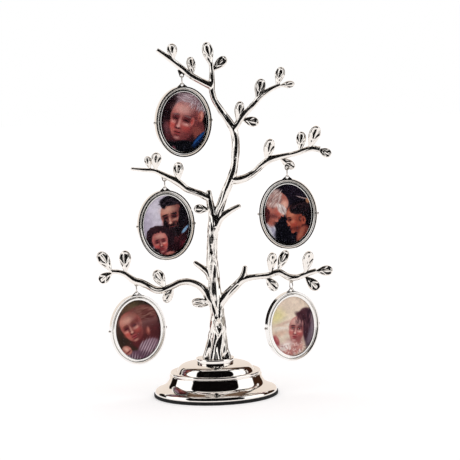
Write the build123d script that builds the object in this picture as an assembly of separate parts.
from build123d import *
import os
from math import cos, pi, radians, sin

# Photo tree stand: a cast tree on a round base, with five turning double-sided photo lockets.
# Millimetres. The origin is the middle of the base on the table, +Z is up and -Y is the front.

# The whole stand
stand_height = 302.7        # table to the highest leaf tip
crown_reach = 105.0         # trunk line to the outermost leaf tip

# Base: foam pad, turned shell, weight and the bolt that holds them under the tree
pad_thickness = 2.5
pad_overhang = 0.7
base_radius = 52.6
base_height = 32.0          # table to the top of the collar
bead_radius = 38.9
bead_height = 19.6          # table to the middle of the bead
bead_size = 1.3
collar_radius = 16.2
collar_height = 5.1
collar_edge = 0.6
shell_wall = 2.2
shell_rim = 3.0
weight_radius = 26.0
weight_gap = 1.0
bolt_radius = 3.0
bolt_clearance = 0.2
bolt_reach = 12.0           # thread inside the tree's foot
thread_gap = 0.03
bolt_head_radius = 5.5
bolt_head_height = 4.0
bolt_foot_gap = 4.0         # below the bolt's head, above the pad

# Tree castings
tree_offset = 0.8           # how far the trunk line stands left of the middle of the base
trunk_radius = 12.2         # at the foot
bough_radius = 3.0
leaf_width = 9.4
leaf_thickness = 3.0
lug_thickness = 1.8
lug_rim = 1.0
lug_root_width = 6.4

# Hanger ring of a locket
hoop_wall = 1.2
hoop_depth = 5.4
eye_radius = 1.1            # hole for the jump ring, in the hoop's tab and in the tree's lug
eye_rise = 1.25             # hole's middle above the hoop
eye_rim = 0.8
tab_thickness = 1.4
tab_foot_width = 10.4
tab_top_width = 3.8

# Jump ring
ring_radius = 3.45          # to the middle of the wire
wire_radius = 0.5
hang_gap = 0.1
ring_split = 4.0            # degrees left open where the wire's ends meet

# Photo frame that turns inside the hanger ring
flip_gap = 0.4
frame_depth = 4.4
rim_round = 0.8
rim_crown = 0.5
window_inset = 3.0
lip_slope = rim_round       # the sloped lip ends level with the rim's rounding
lip_thickness = 1.1
recess_inset = 1.9
seat_gap = 0.12
lens_thickness = 0.8
pin_radius = 0.75
pin_fit = 0.05
pin_press_gap = 0.02
pin_depth = 1.2
pin_proud = 1.7

# A locket keeps clear of the boughs around it: its half width is a share of the crown's reach, and its
# drop from the lug's hole to its lowest point a share of the tree's height
locket_width_share = 0.2348
locket_drop_share = 0.2562

cut_overrun = 1.0           # how far a cutting tool runs past what it cuts

# Counts
turned_sides = 36
trunk_sides = 12
leader_sides = 10
bough_sides = 8
twig_sides = 6
oval_sides = 20
plate_sides = 12
round_sides = 12
bearing_sides = 8
pin_sides = 12
wire_sides = 6
ring_steps = 12

# Base outline, as shares of the way out to in and of the way up
skirt_shares = [(0.01, 0.10), (0.10, 0.20), (0.36, 0.30), (0.64, 0.43), (0.81, 0.61), (0.93, 0.84)]
bead_turns = [-50, 0, 50, 105]
dome_shares = [(0.12, 0.10), (0.30, 0.36), (0.56, 0.70), (0.80, 0.92)]

# Bark: how far the ribs of a limb stand out and in, and how far up the root flare reaches
rib_share = 0.07
root_rib_share = 0.15
root_flare_share = 0.12

# Limbs: (across, up, girth) along each middle line. Across is a share of crown_reach, up is a share
# of the height above the base, and girth is a share of the trunk's or the bough's radius.
limb_shares = {
    "trunk": [
        (0.024, 0.000, 1.00), (0.024, 0.027, 0.85), (0.034, 0.066, 0.66), (0.036, 0.120, 0.54),
        (0.030, 0.170, 0.50), (0.022, 0.210, 0.46), (0.018, 0.250, 0.43), (0.008, 0.295, 0.41),
        (0.010, 0.350, 0.38), (0.018, 0.385, 0.37), (0.026, 0.420, 0.39), (0.022, 0.460, 0.28),
        (0.006, 0.494, 0.25), (-0.001, 0.528, 0.19)],
    "leader": [
        (0.036, 0.405, 0.32), (0.052, 0.437, 0.33), (0.072, 0.462, 0.31), (0.095, 0.487, 0.30),
        (0.123, 0.516, 0.30), (0.159, 0.546, 0.31), (0.191, 0.576, 0.29), (0.212, 0.606, 0.26),
        (0.227, 0.651, 0.28), (0.228, 0.692, 0.27), (0.208, 0.726, 0.30), (0.164, 0.757, 0.26),
        (0.111, 0.788, 0.23), (0.067, 0.818, 0.21), (0.049, 0.849, 0.21), (0.051, 0.869, 0.22),
        (0.053, 0.908, 0.17), (0.050, 0.936, 0.14)],
    "upper_left_bough": [
        (0.052, 0.860, 1.00), (-0.034, 0.877, 0.87), (-0.115, 0.896, 0.80), (-0.185, 0.919, 0.77),
        (-0.266, 0.945, 0.70), (-0.335, 0.966, 0.60), (-0.384, 0.980, 0.53)],
    "upper_right_bough": [
        (0.205, 0.720, 1.00), (0.240, 0.735, 0.88), (0.287, 0.761, 0.80), (0.340, 0.782, 0.75),
        (0.393, 0.803, 0.72), (0.436, 0.822, 0.70), (0.483, 0.836, 0.67), (0.541, 0.848, 0.60),
        (0.606, 0.858, 0.55)],
    "right_bough": [
        (0.195, 0.563, 1.15), (0.235, 0.562, 1.05), (0.303, 0.569, 0.93), (0.377, 0.586, 0.85),
        (0.430, 0.605, 0.85), (0.493, 0.623, 0.87), (0.567, 0.631, 0.77), (0.639, 0.636, 0.67),
        (0.711, 0.641, 0.65), (0.785, 0.650, 0.70), (0.848, 0.655, 0.75), (0.910, 0.651, 0.80)],
    "left_bough": [
        (0.010, 0.503, 0.75), (-0.021, 0.511, 0.84), (-0.070, 0.522, 0.87), (-0.135, 0.532, 0.82),
        (-0.185, 0.541, 0.85), (-0.225, 0.554, 0.90), (-0.273, 0.567, 0.88), (-0.330, 0.579, 0.80),
        (-0.387, 0.591, 0.66), (-0.436, 0.600, 0.55), (-0.510, 0.603, 0.50), (-0.619, 0.608, 0.42)],
    "lower_left_bough": [
        (0.020, 0.168, 1.40), (-0.022, 0.189, 1.28), (-0.053, 0.211, 1.10), (-0.094, 0.228, 0.97),
        (-0.143, 0.239, 0.88), (-0.201, 0.245, 0.83), (-0.259, 0.243, 0.83), (-0.318, 0.233, 0.84),
        (-0.377, 0.224, 0.88), (-0.428, 0.220, 0.93), (-0.476, 0.225, 0.93), (-0.526, 0.237, 0.90),
        (-0.575, 0.246, 0.93), (-0.625, 0.252, 0.92), (-0.665, 0.263, 0.80), (-0.706, 0.275, 0.73),
        (-0.754, 0.282, 0.62), (-0.815, 0.284, 0.57)],
    "lower_right_bough": [
        (0.033, 0.155, 1.40), (0.067, 0.177, 1.36), (0.118, 0.198, 1.20), (0.179, 0.220, 1.07),
        (0.230, 0.239, 0.96), (0.280, 0.249, 0.87), (0.340, 0.253, 0.78), (0.406, 0.255, 0.75),
        (0.465, 0.257, 0.78), (0.514, 0.264, 0.83), (0.556, 0.266, 0.83), (0.597, 0.256, 0.82),
        (0.638, 0.248, 0.87), (0.696, 0.248, 0.75), (0.748, 0.254, 0.73), (0.797, 0.261, 0.73),
        (0.856, 0.267, 0.68)],
}

# Cut twigs, in the same shares of crown_reach, height and bough_radius, by the limb that carries them
twig_shares = {
    "trunk": [[(-0.005, 0.257, 1.10), (-0.029, 0.272, 0.80), (-0.072, 0.287, 0.65), (-0.130, 0.304, 0.53)]],
    "leader": [[(0.041, 0.419, 1.15), (0.073, 0.440, 1.00), (0.124, 0.455, 0.78), (0.183, 0.469, 0.64),
                (0.242, 0.480, 0.50)]],
    "lower_right_bough": [[(0.213, 0.234, 0.90), (0.248, 0.250, 0.75), (0.266, 0.267, 0.64),
                           (0.275, 0.285, 0.52)]],
}

# Leaves: (root across, root up, tip across, tip up, width share, lean of the tip forward as a share of
# the leaf's length), then the leaf's turn about its own line in degrees, by the limb that carries it
leaf_shares = {
    "trunk": [
        (0.008, 0.471, -0.127, 0.477, 0.88, 0.10, 15),
        (0.008, 0.172, -0.168, 0.181, 0.95, 0.15, -20)],
    "leader": [
        (0.050, 0.918, 0.012, 0.999, 1.05, 0.05, 25),
        (0.053, 0.905, 0.171, 0.950, 0.92, -0.10, -15)],
    "upper_left_bough": [
        (-0.253, 0.944, -0.266, 0.998, 0.96, 0.08, -18),
        (-0.100, 0.893, -0.120, 0.954, 0.84, -0.06, 28)],
    "upper_right_bough": [
        (0.245, 0.739, 0.278, 0.811, 0.92, 0.06, 25),
        (0.276, 0.754, 0.420, 0.741, 0.95, 0.18, -10),
        (0.408, 0.811, 0.457, 0.879, 1.00, -0.05, 15),
        (0.574, 0.853, 0.619, 0.914, 0.92, 0.05, -22),
        (0.590, 0.855, 0.718, 0.861, 0.66, 0.08, 10)],
    "right_bough": [
        (0.468, 0.615, 0.516, 0.690, 1.03, 0.07, 18),
        (0.751, 0.645, 0.765, 0.709, 0.94, -0.08, -25),
        (0.822, 0.652, 0.894, 0.726, 1.08, 0.06, 12),
        (0.570, 0.633, 0.699, 0.594, 0.84, -0.10, 10),
        (0.885, 0.653, 1.000, 0.633, 0.88, 0.10, -18)],
    "left_bough": [
        (-0.468, 0.602, -0.494, 0.646, 0.66, -0.10, -28),
        (-0.428, 0.599, -0.414, 0.658, 0.98, 0.08, 15),
        (-0.250, 0.560, -0.238, 0.626, 0.98, 0.05, -15)],
    "lower_left_bough": [
        (-0.810, 0.283, -0.915, 0.348, 1.18, 0.08, 15),
        (-0.700, 0.274, -0.698, 0.350, 1.12, -0.05, -15),
        (-0.378, 0.224, -0.457, 0.285, 1.12, 0.10, 20),
        (-0.310, 0.234, -0.389, 0.181, 0.94, 0.06, -20),
        (-0.800, 0.284, -0.922, 0.252, 0.98, -0.08, 12)],
    "lower_right_bough": [
        (0.478, 0.259, 0.504, 0.330, 0.96, 0.05, 25),
        (0.535, 0.266, 0.620, 0.335, 0.92, -0.06, -12),
        (0.760, 0.256, 0.804, 0.331, 1.06, 0.10, 20),
        (0.840, 0.266, 0.989, 0.267, 0.98, 0.04, -15),
        (0.434, 0.256, 0.530, 0.210, 0.98, 0.12, 12),
        (0.750, 0.254, 0.872, 0.207, 1.00, 0.08, -12)],
}

# One leaf from root to tip: (along its length, of its width, of its thickness)
leaf_station_shares = [
    (0.00, 0.25, 0.75), (0.27, 0.38, 0.76), (0.55, 0.98, 1.00), (0.82, 0.84, 0.88), (1.00, 0.20, 0.40)]
# Its cross-section, hollow between the rim and the midrib in front: (across, through)
leaf_section_shares = [
    (-0.50, 0.06), (-0.24, 0.20), (0.00, 0.50), (0.24, 0.20), (0.50, 0.06), (0.26, -0.42), (-0.26, -0.42)]

# Where each locket hangs: the limb, the lug hole (across, up) and the lug's root on the limb
lug_shares = {
    "upper_left": ("upper_left_bough", (-0.190, 0.897), (-0.176, 0.915)),
    "left": ("left_bough", (-0.357, 0.572), (-0.352, 0.583)),
    "lower_left": ("lower_left_bough", (-0.615, 0.242), (-0.612, 0.250)),
    "right": ("right_bough", (0.638, 0.596), (0.648, 0.612)),
    "lower_right": ("lower_right_bough", (0.646, 0.238), (0.642, 0.248)),
}
# Turn of each locket and of its jump ring about the plumb line, in degrees, as they have come to rest
locket_turns = {"upper_left": 18, "left": 15, "lower_left": 19, "right": -6, "lower_right": 24}
ring_turns = {"upper_left": 0, "left": 0, "lower_left": 0, "right": 0, "lower_right": 20}

front = Vector(0, -1, 0)
hang_drop = eye_radius - wire_radius - hang_gap
hoop_half_width = locket_width_share * crown_reach
hoop_half_height = (locket_drop_share * (stand_height - base_height) - eye_rise) / 2 - hang_drop - ring_radius
hang_length = hoop_half_height + eye_rise + 2 * (hang_drop + ring_radius)
ring_middle = hoop_half_height + eye_rise + hang_drop + ring_radius
frame_half_width = hoop_half_width - hoop_wall - flip_gap
frame_half_height = hoop_half_height - hoop_wall - flip_gap


def between(start, end, share):
    return start + (end - start) * share


def tree_point(across_share, up_share, depth=0):
    """Point of the tree at these shares of its reach and height."""
    height = between(base_height, stand_height, up_share)
    return Vector(across_share * crown_reach - tree_offset, depth, height)


def skin(rings, flat=False):
    """Solid through rings of points: a flat face across each end, and between the rings one flat
    four-cornered facet per side, or two triangles where four corners wouldn't lie flat."""
    faces = [Face(Wire.make_polygon(rings[0])), Face(Wire.make_polygon(rings[-1]))]
    for near, far in zip(rings, rings[1:]):
        for side in range(len(near)):
            a, b, c, d = near[side - 1], near[side], far[side], far[side - 1]
            for corners in [[a, b, c, d]] if flat else [[a, b, c], [a, c, d]]:
                faces.append(Face(Wire.make_polygon(corners)))
    return Solid(Shell(faces))


def turned(profile):
    """Many-sided solid turned about the upright axis, through (radius, height) levels from the bottom up."""
    rings = []
    for radius, height in profile:
        reach = radius / cos(pi / turned_sides)
        turns = [2 * pi * side / turned_sides for side in range(turned_sides)]
        rings.append([Vector(reach * cos(turn), reach * sin(turn), height) for turn in turns])
    return skin(rings, flat=True)


def many_sided_hole(radius, length, sides):
    """Cutter for a hole, its flats this far from the line of the hole."""
    return extrude(RegularPolygon(radius, sides, major_radius=False), length / 2, both=True)


def bead_profile():
    """Round bead between the skirt and the dome."""
    middle = bead_radius - bead_size
    return [(middle + bead_size * cos(radians(turn)), bead_height + bead_size * sin(radians(turn)))
            for turn in bead_turns]


def ceiling_height():
    """Underside of the shell's top, that the weight is bolted against."""
    return base_height - collar_height - 2 * shell_wall


def bolt_hole(low, high):
    """Through hole for the fixing bolt, between two heights that it runs past."""
    hole = many_sided_hole(bolt_radius + bolt_clearance, high - low + 2 * cut_overrun, round_sides)
    return Pos(0, 0, (low + high) / 2) * hole


def base_shell():
    """Stepped shell: rim, hollow-curved skirt, bead, dome and collar, open below."""
    bead = bead_profile()
    foot = base_height - collar_height
    skirt = [(between(base_radius, bead_radius, inward), between(pad_thickness, bead_height, up))
             for inward, up in skirt_shares]
    dome = [(between(bead[-1][0], collar_radius, inward), between(bead[-1][1], foot, up))
            for inward, up in dome_shares]
    collar = [(collar_radius, foot), (collar_radius, base_height - collar_edge),
              (collar_radius - collar_edge, base_height)]
    shoulder = (bead_radius - bead_size - shell_wall, bead_height - 1.5 * shell_wall)
    hollow = [(base_radius - shell_rim, pad_thickness - cut_overrun),
              (base_radius - shell_rim, pad_thickness + shell_wall / 2), shoulder,
              (weight_radius + weight_gap, ceiling_height())]
    body = turned([(base_radius, pad_thickness)] + skirt + bead + dome + collar) - turned(hollow)
    return body - bolt_hole(ceiling_height(), base_height)


def weight_foot():
    """Underside of the weight, that the bolt's head bears on."""
    return pad_thickness + bolt_foot_gap + bolt_head_height


def base_weight():
    """Round weight bolted up against the shell's ceiling."""
    low = weight_foot()
    body = turned([(weight_radius, low), (weight_radius, ceiling_height())])
    return body - bolt_hole(low, ceiling_height())


def base_pad():
    return turned([(base_radius + pad_overhang, 0), (base_radius + pad_overhang, pad_thickness)])


def fixing_bolt():
    """Hexagon bolt up through the weight and the shell into the tree's foot."""
    low = weight_foot()
    length = base_height + bolt_reach - low
    head = extrude(Pos(0, 0, low - bolt_head_height) * RegularPolygon(bolt_head_radius, 6), bolt_head_height)
    shank = extrude(Pos(0, 0, low) * RegularPolygon(bolt_radius, round_sides), length)
    return head + shank


def limb_ring(middle, along, girth, sides, rib):
    """Ring of points of a limb's ribbed outline, square to the way it runs."""
    across = along.cross(front)
    corners = []
    for side in range(sides):
        turn = 2 * pi * side / sides
        reach = girth * (1 + rib if side % 2 else 1 - rib)
        corners.append(middle + across * (reach * cos(turn)) + front * (reach * sin(turn)))
    return corners


def limb(rows, thickness, sides):
    """Cast limb along (across, up, girth) shares, with bark ribs that deepen at the root flare."""
    middles = [tree_point(across, up) for across, up, girth in rows]
    rings = []
    for place, (across, up, girth) in enumerate(rows):
        before, after = middles[max(place - 1, 0)], middles[min(place + 1, len(rows) - 1)]
        flare = max(0, 1 - up / root_flare_share)
        rib = between(rib_share, root_rib_share, flare)
        along = (after - before).normalized()
        rings.append(limb_ring(middles[place], along, girth * thickness, sides, rib))
    return skin(rings)


def leaf(row):
    """Leaf with a raised rim and midrib on its front, on a short stem."""
    root_across, root_up, tip_across, tip_up, width_share, lean_share, turn = row
    root = tree_point(root_across, root_up)
    flat_tip = tree_point(tip_across, tip_up)
    tip = flat_tip + front * (lean_share * (flat_tip - root).length)
    along = (tip - root).normalized()
    across = along.cross(front).normalized().rotate(Axis((0, 0, 0), along), turn)
    through = across.cross(along)
    rings = []
    for way, wide, thick in leaf_station_shares:
        middle = root + (tip - root) * way
        rings.append([middle + across * (side * wide * width_share * leaf_width)
                      + through * (depth * thick * leaf_thickness)
                      for side, depth in leaf_section_shares])
    return skin(rings)


def lug_plane(name):
    """Plane through a lug hole's middle, square to the hole, with its Y up."""
    limb_name, hole, root = lug_shares[name]
    turn = radians(ring_turns[name])
    return Plane(origin=tree_point(*hole), x_dir=(cos(turn), sin(turn), 0), z_dir=(sin(turn), -cos(turn), 0))


def lug(name):
    """Flat lug under a bough that a jump ring hangs from, rounded below its hole."""
    plane = lug_plane(name)
    limb_name, hole, root = lug_shares[name]
    top = plane.to_local_coords(tree_point(*root))
    reach = eye_radius + lug_rim
    below = [(reach * cos(radians(turn)), reach * sin(radians(turn))) for turn in range(180, 361, 30)]
    above = [(top.X + lug_root_width / 2, top.Y), (top.X - lug_root_width / 2, top.Y)]
    outline = Polygon(*(below + above), align=None)
    return extrude(plane * outline, lug_thickness / 2, both=True)


def lug_drill(name):
    return lug_plane(name) * many_sided_hole(eye_radius, 4 * bough_radius, round_sides)


def casting(name, thickness, sides):
    """One limb with the twigs, leaves and lugs that are cast on it."""
    body = limb(limb_shares[name], thickness, sides)
    growth = [limb(rows, bough_radius, twig_sides) for rows in twig_shares.get(name, [])]
    growth += [leaf(row) for row in leaf_shares.get(name, [])]
    lugs = [locket for locket, (limb_name, hole, root) in lug_shares.items() if limb_name == name]
    growth += [lug(locket) for locket in lugs]
    for piece in growth:
        body = body + piece
    for locket in lugs:
        body = body - lug_drill(locket)
    return body


def tree():
    """Trunk, leader and boughs, each ending on the skin of the limb that carries it."""
    trunk = casting("trunk", trunk_radius, trunk_sides)
    leader = casting("leader", trunk_radius, leader_sides) - trunk
    pieces = {"trunk": trunk - trunk_thread(), "leader": leader}
    for name in limb_shares:
        if name not in pieces:
            pieces[name] = casting(name, bough_radius, bough_sides) - trunk - leader
    return pieces


def trunk_thread():
    """Threaded hole in the tree's foot."""
    depth = bolt_reach + thread_gap + cut_overrun
    middle = base_height - cut_overrun + depth / 2
    return Pos(0, 0, middle) * many_sided_hole(bolt_radius + thread_gap, depth, round_sides)


def oval_points(half_width, half_height, depth, sides, around=True):
    """Corners of a faceted oval drawn around or inside the true one, flat at its four ends."""
    grow = 1 / cos(pi / sides) if around else 1
    turns = [2 * pi * (side + 0.5) / sides for side in range(sides)]
    return [Vector(half_width * grow * cos(turn), depth, half_height * grow * sin(turn)) for turn in turns]


def oval_stack(half_width, half_height, levels, sides=oval_sides, around=True):
    """Oval solid through (inset, depth) levels."""
    faces = []
    for inset, depth in levels:
        corners = oval_points(half_width - inset, half_height - inset, depth, sides, around)
        faces.append(Face(Wire.make_polygon(corners)))
    return loft(faces, ruled=True)


def both_sides(piece):
    """The piece, which lies on the +X side, and its mirror image."""
    return [piece, mirror(piece, Plane.YZ)]


def along_pivot(piece, start, end):
    """Piece made along Z about the origin, laid along the pivot line between two distances out."""
    return Pos((start + end) / 2, 0, 0) * Rot(0, 90, 0) * piece


def hanger_ring():
    """Oval hoop with a peaked tab for the jump ring and two bearing holes for the pivot pins."""
    deep = hoop_depth / 2
    far = deep + cut_overrun
    hoop = oval_stack(hoop_half_width, hoop_half_height, [(0, -deep), (0, deep)])
    hoop = hoop - oval_stack(hoop_half_width, hoop_half_height, [(hoop_wall, -far), (hoop_wall, far)])
    eye = hoop_half_height + eye_rise
    foot = hoop_half_height - hoop_wall * 0.8
    peak = eye + eye_radius + eye_rim
    outline = Polygon((-tab_foot_width / 2, foot), (tab_foot_width / 2, foot), (tab_top_width / 2, peak),
                      (-tab_top_width / 2, peak), align=None)
    tab = extrude(Plane.XZ * outline, tab_thickness / 2, both=True)
    hole = Pos(0, 0, eye) * Rot(90, 0, 0) * many_sided_hole(eye_radius, 2 * far, round_sides)
    inside, outside = hoop_half_width - hoop_wall - cut_overrun, hoop_half_width + cut_overrun
    bearing = many_sided_hole(pin_radius + pin_fit, outside - inside, bearing_sides)
    body = hoop + tab - hole
    for drill in both_sides(along_pivot(bearing, inside, outside)):
        body = body - drill
    return body


def jump_ring():
    """Split wire ring in the YZ plane about its own middle, its ends a hair apart at the back."""
    rings = []
    for step in range(ring_steps):
        low = -180 / ring_steps + step * 360 / ring_steps
        turn = radians(low if step else low + ring_split)
        rings.append(wire_outline(turn))
    rings.append(wire_outline(radians(360 - 180 / ring_steps)))
    return skin(rings)


def wire_outline(turn):
    """Outline of the wire this far round its ring."""
    reach = ring_radius / cos(pi / ring_steps)
    outward = Vector(0, cos(turn), sin(turn))
    sideways = Vector(1, 0, 0)
    corners = []
    for side in range(wire_sides):
        around = 2 * pi * (side + 0.5) / wire_sides
        distance = reach + wire_radius * cos(around)
        corners.append(outward * distance + sideways * (wire_radius * sin(around)))
    return corners


def photo_frame():
    """Oval frame that carries the pins: rounded front rim, sloped lip, seat for the cover and sockets."""
    deep = frame_depth / 2
    size = (frame_half_width, frame_half_height)
    body = oval_stack(*size, [(rim_round, -deep), (0, rim_round - deep), (0, deep)])
    body = body - oval_stack(*size, [(rim_round + rim_crown, -deep), (window_inset, lip_slope - deep)])
    back = deep + cut_overrun
    body = body - oval_stack(*size, [(window_inset, -deep), (window_inset, back)])
    body = body - oval_stack(*size, [(recess_inset, lip_thickness - deep), (recess_inset, back)])
    inside, outside = frame_half_width - pin_depth, hoop_half_width
    socket = many_sided_hole(pin_radius + pin_press_gap, outside - inside, bearing_sides)
    for drill in both_sides(along_pivot(socket, inside, outside)):
        body = body - drill
    return body


def retaining_ring():
    """Back ring that snaps into the frame and holds the covers and prints against the lip."""
    deep = frame_depth / 2
    size = (frame_half_width, frame_half_height)
    seat = deep - lip_thickness
    body = oval_stack(*size, [(recess_inset + seat_gap, seat), (recess_inset + seat_gap, deep)])
    low = seat - cut_overrun
    body = body - oval_stack(*size, [(window_inset, low), (window_inset, deep + cut_overrun)])
    return body


def oval_plate(low, high):
    """Thin oval sheet that lies in the frame's recess."""
    inset = recess_inset + seat_gap
    return oval_stack(frame_half_width, frame_half_height, [(inset, low), (inset, high)], plate_sides, False)


def pivot_pins():
    """Two pins pressed into the frame's sides, running in the hanger ring's holes."""
    inside, outside = frame_half_width - pin_depth, hoop_half_width + pin_proud
    pin = extrude(RegularPolygon(pin_radius, pin_sides), (outside - inside) / 2, both=True)
    near, far = both_sides(along_pivot(pin, inside, outside))
    return near + far


def locket_pieces():
    """Pieces of one locket about the middle of its photo frame, facing front."""
    seat = frame_depth / 2 - lip_thickness
    print_face = seat - lens_thickness
    return {
        "hanger_ring": hanger_ring(),
        "pivot_pins": pivot_pins(),
        "photo_frame": photo_frame(),
        "retaining_ring": retaining_ring(),
        "front_cover": oval_plate(-seat, -print_face),
        "front_print": oval_plate(-print_face, 0),
        "back_print": oval_plate(0, print_face),
        "back_cover": oval_plate(print_face, seat),
    }


def hung(name, piece, turn, drop):
    """Piece turned about the plumb line and hung this far below the lug hole."""
    limb_name, hole, root = lug_shares[name]
    return Pos(tree_point(*hole) - Vector(0, 0, drop)) * Rot(0, 0, turn) * piece


def stand():
    """Every piece of the stand by its node name."""
    pieces = {
        "base_pad": base_pad(),
        "base_shell": base_shell(),
        "base_weight": base_weight(),
        "fixing_bolt": fixing_bolt(),
    }
    pieces.update(tree())
    locket = locket_pieces()
    ring = jump_ring()
    for name in lug_shares:
        pieces[name + "_jump_ring"] = hung(name, ring, ring_turns[name], hang_length - ring_middle)
        for part, piece in locket.items():
            pieces[name + "_" + part] = hung(name, piece, locket_turns[name], hang_length)
    return pieces


os.makedirs("parts", exist_ok=True)
for node, piece in stand().items():
    export_step(piece, "parts/" + node + ".step")
